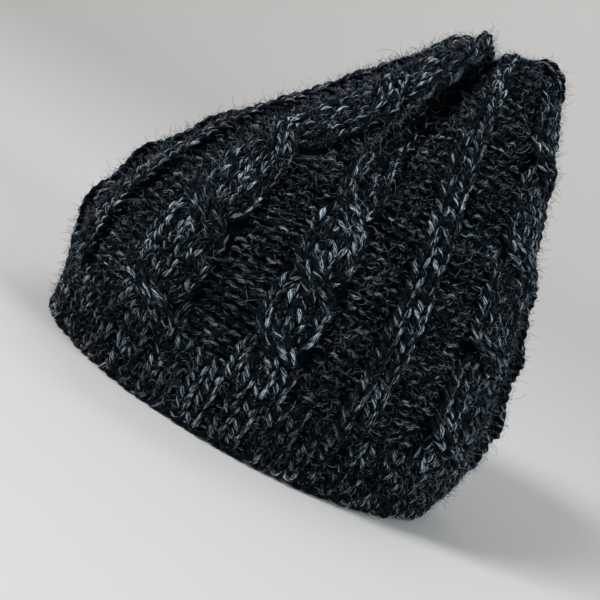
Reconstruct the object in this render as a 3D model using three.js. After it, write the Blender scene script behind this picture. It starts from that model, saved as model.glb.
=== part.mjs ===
// A cable-knit beanie that stands on its rim, in millimetres, +Z up. The front of the head is towards -Y
// and the wearer's left is towards +X. The origin is under the middle of the hat, on the rim's plane.
//
// The beanie is two knitted pieces: a ribbed brim band, and a cabled crown whose top is drawn in at four
// places. That leaves four soft corners, with a deep crease between each two of them.
import * as THREE from "three";

// The hat's outside, over the tops of its ropes
const HAT_LENGTH = 220; // front to back at the widest
const HAT_WIDTH = 176; // ear to ear at the widest
const HAT_HEIGHT = 206; // rim to the tips of the tallest corners

// The knitted wall
const WALL = 5.6; // the plain knitting between the ropes
const BRIM_HEIGHT = 32;
const PIECE_GAP = 0.3; // between the brim and the crown
const COURSE = 4.4; // one course of stitches

// The pattern between one crease and the next, in its order from the left side towards the back. Widths
// are at the widest course. A rope's stitches cross every so many courses, the first time at firstCross.
const PATTERN = [
  { name: "narrow rope", width: 27, height: 3.0, crossEvery: 7, firstCross: 12 },
  { name: "purl ground", width: 22, height: 0 },
  { name: "rib", width: 15, height: 2.2 },
  { name: "purl ground", width: 24, height: 0 },
  { name: "wide rope", width: 35, height: 3.8, crossEvery: 9.5, firstCross: 10 },
  { name: "purl ground", width: 25, height: 0 },
];
const CROSS_COURSES = 5; // how many courses a crossing takes
const CROSS_WAIST = 0.24; // share of its width that a rope loses where it crosses
const CROSS_SWELL = 0.8; // how much higher a rope stands there

// The ribbing of the brim, knit two purl one
const BRIM_RIBS = 32;
const BRIM_RIB_HEIGHT = 1.8;
const BRIM_RIB_SHARE = 0.62; // of each rib and its purl stitch, how much is the rib
const BRIM_INSET = 2.2; // how far the ribbing draws in from the tops of the ropes
const HOLLOW_END = 0.6; // share of the way over a corner where the hollow leaves it and closes
const HOLLOW_TOP = 0.8; // the top of the hollow, a share of HAT_HEIGHT

// How finely the surfaces are divided
const CROWN_FACETS = 24; // from one crease to the next
const CROWN_RINGS = 32;
const LINING_RINGS = 12;
const BRIM_FACETS = 4; // across one rib
const EDGE_SAMPLES = 64; // along a section, from one crease to the next
const PATH_SAMPLES = 160; // along the hat, from the rim to the middle of the top
const GATHER = 36; // how far from the middle of the top the ropes begin to run together
const GATHERED = 11; // how far from it they are one tight knot

// Sections of the outside, from the rim over the corners and in to the middle, where it is drawn closed.
// rise: share of HAT_HEIGHT. front, back: shares of HAT_LENGTH, from the origin to the reach of the
// corners. side: share of half of HAT_WIDTH. axis: where the creases aim, a share of HAT_LENGTH.
// square: 2 is an ellipse and more is squarer. cut: how far a crease goes in, a share of the way to the
// axis. sink: how far a crease lies below its corners, a share of HAT_HEIGHT.
const SECTIONS = [
  { rise: 0.0, front: 0.472, back: 0.457, side: 0.932, axis: 0.0, square: 2.0, cut: 0, sink: 0 },
  { rise: 0.09, front: 0.482, back: 0.486, side: 0.966, axis: 0.0, square: 2.0, cut: 0, sink: 0 },
  { rise: 0.2, front: 0.5, back: 0.5, side: 1.0, axis: 0.0, square: 2.0, cut: 0, sink: 0 },
  { rise: 0.3, front: 0.486, back: 0.486, side: 1.0, axis: 0.0, square: 2.05, cut: 0, sink: 0 },
  { rise: 0.4, front: 0.443, back: 0.462, side: 0.975, axis: 0.0, square: 2.1, cut: 0, sink: 0 },
  { rise: 0.5, front: 0.378, back: 0.432, side: 0.92, axis: 0.0, square: 2.15, cut: 0.02, sink: 0 },
  { rise: 0.6, front: 0.308, back: 0.4, side: 0.84, axis: 0.01, square: 2.2, cut: 0.12, sink: 0.01 },
  { rise: 0.7, front: 0.22, back: 0.354, side: 0.74, axis: 0.03, square: 2.3, cut: 0.3, sink: 0.03 },
  { rise: 0.8, front: 0.14, back: 0.312, side: 0.63, axis: 0.052, square: 2.4, cut: 0.46, sink: 0.055 },
  { rise: 0.89, front: 0.072, back: 0.276, side: 0.53, axis: 0.073, square: 2.5, cut: 0.58, sink: 0.08 },
  { rise: 0.955, front: 0.018, back: 0.243, side: 0.44, axis: 0.086, square: 2.5, cut: 0.62, sink: 0.09 },
  { rise: 0.995, front: -0.028, back: 0.203, side: 0.34, axis: 0.09, square: 2.4, cut: 0.6, sink: 0.08 },
  { rise: 0.992, front: -0.062, back: 0.155, side: 0.2, axis: 0.09, square: 2.2, cut: 0.45, sink: 0.05 },
  { rise: 0.935, front: -0.09, back: 0.09, side: 0.0, axis: 0.09, square: 2.0, cut: 0.3, sink: 0 },
];
const CREASE_SHARPNESS = 3; // how narrow a crease is, and how round the corners are beside it
const FRONT_CORNER_DROP = 0.05; // how much lower the front corners are, a share of HAT_HEIGHT

const REPEATS = 4;
const QUARTER = Math.PI / 2;
const ROPE_TOP = Math.max(...PATTERN.map((column) => column.height)) + CROSS_SWELL;
const lerp = THREE.MathUtils.lerp;
const smooth = (t) => t * t * (3 - 2 * t);
const toNearest = (x) => x - Math.round(x);

// How far a crease closes the section at a turn. The creases lie left, back, right and front.
const creaseAt = (turn) => (1 - Math.abs(Math.sin(2 * turn))) ** CREASE_SHARPNESS;

// The radius of a section of unit reach.
function unitRadius(square, cut, turn) {
  const sum = Math.abs(Math.cos(turn)) ** square + Math.abs(Math.sin(turn)) ** square;
  return sum ** (-1 / square) * (1 - cut * creaseAt(turn));
}

// The section at a row of the table, which may lie between two rows, with its sizes in millimetres.
function sectionAt(row) {
  const last = SECTIONS.length - 1;
  const i = THREE.MathUtils.clamp(Math.floor(row), 0, last - 1);
  const t = row - i;
  const at = (column, k) => SECTIONS[THREE.MathUtils.clamp(k, 0, last)][column];
  const share = (column) => {
    const slope = (k) => (at(column, k + 1) - at(column, k - 1)) / 2;
    const bend = t * (1 - t) * ((1 - t) * slope(i) - t * slope(i + 1));
    return lerp(at(column, i), at(column, i + 1), smooth(t)) + bend;
  };
  const [square, cut] = [share("square"), share("cut")];
  let reach = 0;
  for (let k = 0; k <= EDGE_SAMPLES; k++) {
    const turn = (k / EDGE_SAMPLES) * QUARTER;
    reach = Math.max(reach, unitRadius(square, cut, turn) * Math.sin(turn));
  }
  const axis = share("axis") * HAT_LENGTH;
  return {
    square,
    cut,
    axis,
    front: (share("front") * HAT_LENGTH + axis) / reach,
    back: (share("back") * HAT_LENGTH - axis) / reach,
    side: (share("side") * HAT_WIDTH) / 2 / reach,
    height: share("rise") * HAT_HEIGHT,
    sink: share("sink") * HAT_HEIGHT,
  };
}

function outlinePoint(section, turn) {
  const [c, s] = [Math.cos(turn), Math.sin(turn)];
  const radius = unitRadius(section.square, section.cut, turn);
  const lengthwise = s < 0 ? section.front : section.back;
  const crease = creaseAt(turn);
  const drop = section.cut * FRONT_CORNER_DROP * HAT_HEIGHT * Math.max(0, -s) * (1 - crease);
  return new THREE.Vector3(
    section.side * radius * c,
    section.axis + lengthwise * radius * s,
    section.height - section.sink * crease - drop,
  );
}

// The length of the way up over the corners, which stretches each row of the table to its real length.
const rowLengths = [0];
const cornerPoint = (row) => outlinePoint(sectionAt(row), QUARTER / 2);
for (let k = 1; k <= PATH_SAMPLES; k++) {
  const [from, to] = [k - 1, k].map((n) => cornerPoint((n / PATH_SAMPLES) * (SECTIONS.length - 1)));
  rowLengths.push(rowLengths[k - 1] + from.distanceTo(to));
}
const PATH = rowLengths[PATH_SAMPLES];

function sectionAlong(length) {
  let k = 1;
  while (k < PATH_SAMPLES && rowLengths[k] < length) k++;
  const t = (length - rowLengths[k - 1]) / (rowLengths[k] - rowLengths[k - 1]);
  return sectionAt(((k - 1 + t) / PATH_SAMPLES) * (SECTIONS.length - 1));
}

// Points at a length from the rim, spread evenly from each crease to the next, so that the stitches keep
// their width. They start at the left side and go round by the back.
function ring(length, count) {
  const section = sectionAlong(length);
  const points = [];
  for (let q = 0; q < REPEATS; q++) {
    const edge = [];
    for (let k = 0; k <= EDGE_SAMPLES; k++) edge.push(outlinePoint(section, (q + k / EDGE_SAMPLES) * QUARTER));
    const reached = [0];
    for (let k = 1; k <= EDGE_SAMPLES; k++) reached.push(reached[k - 1] + edge[k].distanceTo(edge[k - 1]));
    for (let n = 0; n < count / REPEATS; n++) {
      const target = (n / (count / REPEATS)) * reached[EDGE_SAMPLES];
      let k = 1;
      while (k < EDGE_SAMPLES && reached[k] < target) k++;
      const step = reached[k] - reached[k - 1];
      points.push(edge[k - 1].clone().lerp(edge[k], (target - reached[k - 1]) / step));
    }
  }
  return points;
}

// A ring moved in from the outside, square to it, by a depth that may change from point to point.
function insetRing(length, count, depthAt) {
  const step = COURSE / 2;
  const lower = ring(Math.max(0, length - step), count);
  const upper = ring(Math.min(PATH - step, length + step), count);
  return ring(length, count).map((point, n, all) => {
    const before = all[(n + count - 1) % count];
    const after = all[(n + 1) % count];
    const normal = after.clone().sub(before).cross(upper[n].clone().sub(lower[n])).normalize();
    return point.clone().addScaledVector(normal, -depthAt(n / count));
  });
}

// Where each column of the pattern has its middle, as a share of the way from one crease to the next.
// The first column lies in the crease itself, so half of it is on each side.
const patternWidth = PATTERN.reduce((sum, column) => sum + column.width, 0);
let reachedWidth = -PATTERN[0].width / 2;
const columns = PATTERN.map((column) => {
  const middle = (reachedWidth + column.width / 2) / patternWidth;
  reachedWidth += column.width;
  return { ...column, middle, half: column.width / 2 / patternWidth };
});

// How near a length is to the crossing of a rope: 1 in the middle of it, and 0 away from it.
function crossing(column, length) {
  if (!column.crossEvery) return 0;
  const off = Math.abs(toNearest((length / COURSE - column.firstCross) / column.crossEvery)) * column.crossEvery;
  return smooth(Math.max(0, 1 - off / (CROSS_COURSES / 2)));
}

// How high the knitting stands above the purl ground.
function relief(length, around) {
  let height = 0;
  for (const column of columns) {
    const cross = crossing(column, length);
    const off = Math.abs(toNearest(around * REPEATS - column.middle)) / (column.half * (1 - CROSS_WAIST * cross));
    if (off < 1) height = Math.max(height, (column.height + CROSS_SWELL * cross) * Math.sqrt(1 - off ** 4));
  }
  return height;
}

// The length from the rim at which the outside reaches a height, found by halving.
function lengthAt(height) {
  let [low, high] = [0, PATH / 2];
  for (let k = 0; k < 40; k++) {
    const middle = (low + high) / 2;
    if (sectionAlong(middle).height < height) low = middle;
    else high = middle;
  }
  return low;
}

// A closed body of rings of equal count. It ends in a point at each end if poles are given, and
// otherwise its last ring joins its first.
function bodyOfRings(rings, poles = []) {
  const count = rings[0].length;
  const points = [...rings.flat(), ...poles];
  const faces = [];
  const joins = poles.length ? rings.length - 1 : rings.length;
  const end = (rings.length - 1) * count;
  for (let n = 0; n < count; n++) {
    const next = (n + 1) % count;
    for (let r = 0; r < joins; r++) {
      const [low, high] = [r * count, ((r + 1) % rings.length) * count];
      faces.push(low + n, low + next, high + next);
      faces.push(low + n, high + next, high + n);
    }
    if (poles.length) {
      faces.push(points.length - 2, next, n);
      faces.push(points.length - 1, end + n, end + next);
    }
  }
  const geometry = new THREE.BufferGeometry().setFromPoints(points);
  geometry.setIndex(faces);
  geometry.computeVertexNormals();
  return geometry;
}

const level = (points, height) => points.map((point) => point.setZ(height));
const lining = () => ROPE_TOP + WALL;

// The cabled crown: a hollow wall from the brim to the drawn-in middle. The tips of the corners are folded
// knitting all through, so the hollow closes below them.
function crown() {
  const count = REPEATS * CROWN_FACETS;
  const seat = BRIM_HEIGHT + PIECE_GAP;
  const start = lengthAt(seat);
  const end = PATH - GATHERED;
  const rings = [];
  for (let r = LINING_RINGS; r >= 0; r--) {
    rings.push(insetRing(lerp(start, HOLLOW_END * PATH, r / LINING_RINGS), count, lining));
  }
  level(rings[LINING_RINGS], seat);
  for (let r = 0; r <= CROWN_RINGS; r++) {
    const length = lerp(start, end, r / CROWN_RINGS);
    const spread = Math.min(1, (end - length) / GATHER);
    rings.push(insetRing(length, count, (around) => (ROPE_TOP - relief(length, around)) * spread));
  }
  level(rings[LINING_RINGS + 1], seat);
  const hollow = new THREE.Vector3(0, sectionAlong(HOLLOW_END * PATH).axis, HOLLOW_TOP * HAT_HEIGHT);
  return bodyOfRings(rings, [hollow, cornerPoint(SECTIONS.length - 1)]);
}

// How high a rib of the brim stands above the purl stitch beside it.
function ribRelief(around) {
  const off = Math.abs(toNearest(around * BRIM_RIBS)) / (BRIM_RIB_SHARE / 2);
  return off < 1 ? BRIM_RIB_HEIGHT * Math.sqrt(1 - off ** 2) : 0;
}

// The ribbed brim: a band with a flat lower edge that the hat stands on.
function brimBand() {
  const count = BRIM_RIBS * BRIM_FACETS;
  const top = lengthAt(BRIM_HEIGHT);
  const outside = (length) => insetRing(length, count, (around) => BRIM_INSET + BRIM_RIB_HEIGHT - ribRelief(around));
  const inside = (length) => insetRing(length, count, lining);
  return bodyOfRings([
    level(outside(0), 0),
    outside(top / 2),
    level(outside(top), BRIM_HEIGHT),
    level(inside(top), BRIM_HEIGHT),
    inside(top / 2),
    level(inside(0), 0),
  ]);
}

const yarn = (color) => new THREE.MeshStandardMaterial({ color, roughness: 0.95, metalness: 0 });

function piece(name, geometry, material) {
  const mesh = new THREE.Mesh(geometry, material);
  mesh.name = name;
  return mesh;
}

const beanie = new THREE.Group();
beanie.add(piece("brim_band", brimBand(), yarn(0x1d2026)));
beanie.add(piece("crown", crown(), yarn(0x23262d)));

export default beanie;
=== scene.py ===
# %% [markdown]
# # A cable-knit beanie, one stitch at a time
#
# The beanie is knitted by hand in a bulky, marled yarn. It has a narrow ribbed brim, then rope cables and
# ribs on a purl ground, and its top is drawn in at four places, which leaves four soft corners and deep
# creases between them. Nothing on it is a smooth surface: it is all yarn. So this lesson lays the hat's form
# out first, and then bends a small tube for each leg and each arc of every stitch.
#
# A plain solid model holds the real size. The first cell loads it as a fixed frame. All that is made here
# is in metres in the same frame, with the rim on the ground and the front of the head towards -Y.

# %% Load the solid model
import math
from collections import namedtuple

import bpy
import numpy as np
from mathutils import Matrix, Vector


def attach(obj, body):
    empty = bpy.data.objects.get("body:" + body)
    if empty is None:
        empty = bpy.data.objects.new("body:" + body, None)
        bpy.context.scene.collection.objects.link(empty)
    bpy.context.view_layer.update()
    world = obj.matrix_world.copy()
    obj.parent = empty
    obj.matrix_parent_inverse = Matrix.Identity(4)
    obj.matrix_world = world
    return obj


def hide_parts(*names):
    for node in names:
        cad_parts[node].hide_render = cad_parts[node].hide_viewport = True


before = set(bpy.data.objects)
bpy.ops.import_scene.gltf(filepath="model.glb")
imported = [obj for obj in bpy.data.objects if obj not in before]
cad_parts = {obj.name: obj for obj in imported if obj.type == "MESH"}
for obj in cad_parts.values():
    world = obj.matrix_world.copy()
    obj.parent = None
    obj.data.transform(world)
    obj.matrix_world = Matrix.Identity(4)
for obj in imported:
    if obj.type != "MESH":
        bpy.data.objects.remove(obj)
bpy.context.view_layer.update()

# %% [markdown]
# ## The form of the hat
#
# Every stitch needs a place and a direction on the hat. A stitch could be shrunk on to the solid model, but
# that is made of flat facets. It is smoother to work the form out again from the few sections that shape
# it: how far it reaches to the front, the back and the side at each height, and how deep the creases cut.
# A section that lies between two of the table comes from a curve through them.
#
# Lengths are shares of the hat's own, so the whole hat scales by three numbers. `sink` lowers the middle of
# a crease, `bow` rounds the edge beside it, and the side creases lean towards the front.

# %% Sections of the hat
MM = 0.001
HAT_LENGTH = 220 * MM
HAT_WIDTH = 176 * MM
HAT_HEIGHT = 206 * MM
SECTION_COLUMNS = ("rise", "front", "back", "side", "axis", "square", "cut", "sink", "bow")
SECTIONS = np.array((
    (0.000, 0.472, 0.457, 0.932, 0.000, 2.00, 0.00, 0.000, 0.000),
    (0.090, 0.482, 0.486, 0.966, 0.000, 2.00, 0.00, 0.000, 0.000),
    (0.200, 0.500, 0.500, 1.000, 0.000, 2.00, 0.00, 0.000, 0.000),
    (0.300, 0.486, 0.486, 1.000, 0.000, 2.05, 0.00, 0.000, 0.000),
    (0.400, 0.443, 0.462, 0.975, 0.000, 2.10, 0.00, 0.000, 0.000),
    (0.500, 0.378, 0.432, 0.920, 0.000, 2.15, 0.02, 0.000, 0.000),
    (0.600, 0.308, 0.400, 0.840, 0.010, 2.20, 0.12, 0.010, 0.000),
    (0.700, 0.220, 0.354, 0.740, 0.030, 2.30, 0.30, 0.030, 0.000),
    (0.800, 0.140, 0.312, 0.630, 0.052, 2.40, 0.46, 0.055, 0.000),
    (0.890, 0.072, 0.276, 0.530, 0.073, 2.50, 0.58, 0.080, 0.004),
    (0.955, 0.018, 0.243, 0.440, 0.086, 2.50, 0.62, 0.090, 0.012),
    (0.995, -0.028, 0.203, 0.340, 0.090, 2.40, 0.60, 0.080, 0.030),
    (0.965, -0.062, 0.155, 0.200, 0.090, 2.20, 0.45, 0.050, 0.025),
    (0.915, -0.090, 0.090, 0.000, 0.090, 2.00, 0.30, 0.000, 0.000),
))
LAST = len(SECTIONS) - 1
CREASE_SHARPNESS = 6
CREASE_LEAN = 0.5
FRONT_CORNER_DROP = 0.05
QUARTERS = 4
QUARTER = math.pi / 2
REACH_STEPS = 65


def smooth(t):
    """From 0 to 1 with a gentle start and end."""
    t = np.clip(t, 0, 1)
    return t * t * (3 - 2 * t)


def crease_at(turn):
    """1 in the middle of a crease, which lie left, back, right and front, and 0 at the corners."""
    return (1 - np.abs(np.sin(2 * turn))) ** CREASE_SHARPNESS


def section_at(row):
    """The table's columns at rows that may lie between two of its own."""
    low = np.clip(np.floor(row).astype(int), 0, LAST - 1)
    t = (row - low)[:, None]

    def at(k):
        return SECTIONS[np.clip(k, 0, LAST)]

    def slope(k):
        return (at(k + 1) - at(k - 1)) / 2

    ease = smooth(t)
    bend = t * (1 - t) * ((1 - t) * slope(low) - t * slope(low + 1))
    values = at(low) * (1 - ease) + at(low + 1) * ease + bend
    return {name: values[:, n, None] for n, name in enumerate(SECTION_COLUMNS)}


def outline(row, turn):
    """Points of the hat's outside, one line of points round the hat for each row of the table."""
    section = section_at(row)

    def radius(angle):
        """How far a section reaches in a direction: between an oval and a box, with the creases cut in."""
        power = section["square"]
        total = np.abs(np.cos(angle)) ** power + np.abs(np.sin(angle)) ** power
        return total ** (-1 / power) * (1 - section["cut"] * crease_at(angle))

    quarter_turn = np.linspace(0, QUARTER, REACH_STEPS)[None]
    reach = (radius(quarter_turn) * np.sin(quarter_turn)).max(axis=1, keepdims=True)
    axis = section["axis"] * HAT_LENGTH
    front = (section["front"] * HAT_LENGTH + axis) / reach
    back = (section["back"] * HAT_LENGTH - axis) / reach
    side = section["side"] * HAT_WIDTH / 2 / reach
    turn = turn[None]
    sine = np.sin(turn)
    crease = crease_at(turn)
    drop = section["cut"] * FRONT_CORNER_DROP * np.maximum(0, -sine) * (1 - crease)
    sunk = section["sink"] * crease + section["bow"] * np.cos(2 * turn) ** 2 * (1 - crease)
    leant = turn - CREASE_LEAN * section["cut"] * crease * np.cos(turn)
    return np.stack((
        side * radius(turn) * np.cos(leant),
        axis + np.where(sine < 0, front, back) * radius(turn) * np.sin(leant),
        (section["rise"] - sunk - drop) * HAT_HEIGHT,
    ), axis=-1)


corner_and_crease = outline(np.array((9.0,)), np.array((QUARTER / 2, 0.0)))[0]
print("beside the left crease, near the top, the corner stands", end=" ")
print(round(1000 * (corner_and_crease[0, 2] - corner_and_crease[1, 2])), "mm above its middle")


# %% [markdown]
# ## A map of the hat
#
# A knitter works in stitches round and courses up, so the form becomes a map with two coordinates: `u`
# counts quarters round, from the left crease by the back, and `v` is the length up from the rim in metres.
# The points of the map lie evenly along each quarter, so stitches keep their width right into a crease.
# The outside of the form lies over the tops of the ropes, and `height` is measured from the purl ground.

# %% The map of the hat
MAP_ROWS = 261
MAP_COLUMNS = 96
EDGE_STEPS = 64
TABLE_STEPS = 161
SMOOTHINGS = 3
ROPE_TOP = 4.6 * MM
GATHER = 36 * MM
GATHERED = 11 * MM


def lengths(points):
    """How far along a line of points each of them lies."""
    steps = np.linalg.norm(np.diff(points, axis=0), axis=1)
    return np.concatenate(((0,), np.cumsum(steps)))


table_rows = np.linspace(0, LAST, TABLE_STEPS)
climbed = lengths(outline(table_rows, np.array((QUARTER / 2,)))[:, 0])
PATH = climbed[-1]
map_lengths = np.linspace(0, PATH, MAP_ROWS)
edges = outline(np.interp(map_lengths, climbed, table_rows),
                np.linspace(0, QUARTERS * QUARTER, QUARTERS * EDGE_STEPS + 1))
hat_map = np.empty((MAP_ROWS, QUARTERS * MAP_COLUMNS, 3))
quarter_lengths = np.empty((MAP_ROWS, QUARTERS))
for r in range(MAP_ROWS):
    for q in range(QUARTERS):
        edge = edges[r, q * EDGE_STEPS:(q + 1) * EDGE_STEPS + 1]
        reached = lengths(edge)
        quarter_lengths[r, q] = reached[-1]
        target = np.linspace(0, reached[-1], MAP_COLUMNS, endpoint=False)
        for axis in range(3):
            cells = slice(q * MAP_COLUMNS, (q + 1) * MAP_COLUMNS)
            hat_map[r, cells, axis] = np.interp(target, reached, edge[:, axis])


def unit(vectors):
    """The same directions with length 1."""
    return vectors / np.maximum(np.linalg.norm(vectors, axis=-1, keepdims=True), 1e-12)


round_the_hat = np.roll(hat_map, -1, axis=1) - np.roll(hat_map, 1, axis=1)
up_the_hat = np.gradient(hat_map, axis=0)
hat_normals = unit(np.cross(round_the_hat, up_the_hat))
for _ in range(SMOOTHINGS):
    beside = np.roll(hat_normals, 1, axis=1) + np.roll(hat_normals, -1, axis=1)
    above = hat_normals[np.clip(np.arange(MAP_ROWS) + 1, 0, MAP_ROWS - 1)]
    below = hat_normals[np.clip(np.arange(MAP_ROWS) - 1, 0, MAP_ROWS - 1)]
    hat_normals = unit(2 * hat_normals + beside + above + below)


def from_map(values, u, v):
    """Values of the map between its own points."""
    row = np.clip(v / PATH, 0, 1) * (MAP_ROWS - 1)
    column = (u % QUARTERS) * MAP_COLUMNS
    low = np.minimum(np.floor(row).astype(int), MAP_ROWS - 2)
    left = np.floor(column).astype(int)
    up = (row - low)[..., None]
    along = (column - left)[..., None]
    count = values.shape[1]
    right = (left + 1) % count
    left = left % count
    lower = values[low, left] * (1 - along) + values[low, right] * along
    upper = values[low + 1, left] * (1 - along) + values[low + 1, right] * along
    return lower * (1 - up) + upper * up


def layers(v):
    """1 where the relief stands in full, down to 0 where it all runs together at the top."""
    return np.clip((PATH - GATHERED - v) / GATHER, 0, 1)


def on_hat(u, v, height):
    """Places and outward directions on the hat, at a height over the purl ground."""
    normal = unit(from_map(hat_normals, u, v))
    level = (height - ROPE_TOP) * layers(v)
    return from_map(hat_map, u, v) + normal * level[..., None], normal


def quarter_length(u, v):
    """How long the quarter that holds u is at v, in metres."""
    quarter = np.floor(u % QUARTERS).astype(int)
    table = np.stack([np.interp(v, map_lengths, quarter_lengths[:, q]) for q in range(QUARTERS)])
    return np.take_along_axis(table, quarter[None], axis=0)[0]


print("from the rim over a corner to the middle:", round(PATH * 1000), "mm")
print("round the widest course:", round(1000 * quarter_lengths.sum(axis=1).max()), "mm")

# %% [markdown]
# ## The stitch pattern
#
# Counted on the real hat, 96 stitches go round, as four repeats of 24: a rope of 4 in the crease, 4 purl, a
# rib of 2, 4 purl, a rope of 6 and 4 purl. The ropes draw the knitting together, so their stitches lie
# closer than the purl ones. A small table with named columns keeps all of that in one place. Its last three
# numbers say how many courses lie between two crossings and where the first and the last one are: a narrow
# rope stops crossing where it dives into its crease. In the brim the same 96 stitches make 32 ribs of equal
# width, and the columns slide over to their own widths above it.

# %% The pattern
Column = namedtuple("Column", "name stitches width height cross_every first_cross last_cross")
PATTERN = (
    Column("narrow rope", 4, 27, 3.0 * MM, 7.0, 12.0, 26.0),
    Column("ground", 4, 22, 0.0, None, None, None),
    Column("rib", 2, 15, 2.2 * MM, None, None, None),
    Column("ground", 4, 24, 0.0, None, None, None),
    Column("wide rope", 6, 35, 3.8 * MM, 9.5, 10.0, 48.0),
    Column("ground", 4, 25, 0.0, None, None, None),
)
COURSE = 4.4 * MM
BRIM_HEIGHT = 32 * MM
BRIM_COURSES = 7
FIRST_CROWN_COURSE = BRIM_COURSES
LAST_COURSE = 56
SLIDE = 26 * MM

pattern_widths = np.array([column.width for column in PATTERN], float)
pattern_stitches = np.array([column.stitches for column in PATTERN], float)
STITCHES = int(pattern_stitches.sum())


def starts_of(widths):
    """Where each column starts and how wide it is, as shares of a quarter. The first lies in the crease."""
    ends = np.cumsum(widths)
    return (ends - widths - widths[0] / 2) / ends[-1], widths / ends[-1]


crown_starts, crown_widths = starts_of(pattern_widths)
brim_starts, brim_widths = starts_of(pattern_stitches)


def column_at(index, v):
    """The start and the width of a column at a length from the rim, as shares of a quarter."""
    slide = smooth((v - BRIM_HEIGHT / 2) / SLIDE)
    start = brim_starts[index] + (crown_starts[index] - brim_starts[index]) * slide
    width = brim_widths[index] + (crown_widths[index] - brim_widths[index]) * slide
    return start, width


print(STITCHES * QUARTERS, "stitches round and", LAST_COURSE, "courses up")

# %% [markdown]
# ## Bending a tube along a line
#
# A stitch can be made with a curve and a bevel, but ten thousand curve objects are slow and can't carry
# their own attributes. Here numpy bends all tubes of one kind at once: a ring of points round each point of
# each line, quads between the rings and a blunt point at each end, so that every tube is closed.
#
# Each vertex also remembers its place in the yarn: two numbers for where it lies round the yarn and one for
# how far along. The material needs them to twist its two plies. Each tube starts at a random place of the
# yarn, so hardly any two stitches show the same flecks.

# %% Tubes of yarn
YARN = 1.4 * MM
SEED = 24
rng = np.random.default_rng(SEED)


def tubes(lines, normals, radii, sides, flat=1.0):
    """Closed tubes: vertices, quads, triangles, and for each vertex its yarn coordinates and the way out."""
    count, steps, _ = lines.shape
    along = unit(np.gradient(lines, axis=1))
    across = unit(np.cross(normals, along))
    out = np.cross(along, across)
    angle = 2 * math.pi * np.arange(sides) / sides
    circle = across[:, :, None] * np.cos(angle)[:, None] + flat * out[:, :, None] * np.sin(angle)[:, None]
    rings = lines[:, :, None] + radii[:, :, None, None] * circle
    first = lines[:, 0] - along[:, 0] * radii[:, 0, None] / 2
    last = lines[:, -1] + along[:, -1] * radii[:, -1, None] / 2
    points = np.concatenate((rings.reshape(count, -1, 3), first[:, None], last[:, None]), axis=1)

    step = np.linalg.norm(np.diff(lines, axis=1), axis=2)
    run = np.concatenate((np.zeros((count, 1)), np.cumsum(step, axis=1)), axis=1)
    run = run + rng.uniform(0, 1, (count, 1))
    share = radii / YARN
    yarn = np.empty((count, steps, sides, 3))
    yarn[..., 0] = share[:, :, None] * np.cos(angle)
    yarn[..., 1] = share[:, :, None] * np.sin(angle)
    yarn[..., 2] = run[:, :, None]
    ends = np.zeros((count, 2, 3))
    ends[:, 0, 2] = run[:, 0]
    ends[:, 1, 2] = run[:, -1]
    yarn = np.concatenate((yarn.reshape(count, -1, 3), ends), axis=1)
    way_out = np.concatenate((np.repeat(normals, sides, axis=1), normals[:, :1], normals[:, -1:]), axis=1)

    ring = np.arange(steps - 1)[:, None] * sides
    here = np.arange(sides)
    there = (here + 1) % sides
    quads = np.stack((ring + here, ring + there, ring + sides + there, ring + sides + here), -1)
    quads = quads.reshape(-1, 4)
    top = (steps - 1) * sides
    foot_tip = np.full(sides, steps * sides)
    head_tip = foot_tip + 1
    caps = np.concatenate((np.stack((foot_tip, there, here), -1),
                           np.stack((head_tip, top + here, top + there), -1)))
    offset = (np.arange(count) * points.shape[1])[:, None, None]
    return (points.reshape(-1, 3), (quads + offset).reshape(-1, 4), (caps + offset).reshape(-1, 3),
            yarn.reshape(-1, 3), way_out.reshape(-1, 3))


print("the yarn is", round(2000 * YARN, 1), "mm thick where nothing squeezes it")

# %% [markdown]
# ## From arrays to a piece
#
# Arrays go into a mesh in one step, which takes a moment for a hundred thousand faces where a loop over
# single vertices takes minutes. The same helper serves the yarn, the wall and the loose fibres, since all
# of them give vertices, quads, triangles and yarn coordinates.

# %% From arrays to a Blender object
triangles = {}
PIECE_LIMIT = 200000


def make_object(name, parts, material):
    """One mesh object from parts: vertices, quads, triangles and yarn coordinates of each."""
    points, quads, caps, yarn = [], [], [], []
    offset = 0
    for part in parts:
        points.append(part[0])
        quads.append(part[1] + offset)
        caps.append(part[2] + offset)
        yarn.append(part[3])
        offset += len(part[0])
    points, quads, caps, yarn = (np.concatenate(x) for x in (points, quads, caps, yarn))
    corners = np.concatenate((quads.ravel(), caps.ravel())).astype(np.int32)
    sizes = np.concatenate((np.full(len(quads), 4), np.full(len(caps), 3)))
    starts = np.concatenate(((0,), np.cumsum(sizes)[:-1])).astype(np.int32)
    mesh = bpy.data.meshes.new(name)
    mesh.vertices.add(len(points))
    mesh.vertices.foreach_set("co", points.astype(np.float32).ravel())
    mesh.loops.add(len(corners))
    mesh.loops.foreach_set("vertex_index", corners)
    mesh.polygons.add(len(sizes))
    mesh.polygons.foreach_set("loop_start", starts)
    mesh.update(calc_edges=True)
    mesh.shade_smooth()
    mesh.attributes.new("yarn", "FLOAT_VECTOR", "POINT").data.foreach_set(
        "vector", yarn.astype(np.float32).ravel())
    mesh.materials.append(material)
    piece = bpy.data.objects.new(name, mesh)
    bpy.context.scene.collection.objects.link(piece)
    triangles[name] = 2 * len(quads) + len(caps)
    print(f"{name}: {triangles[name]} triangles")
    return piece


print("no piece may add more than", PIECE_LIMIT, "triangles")


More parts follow.
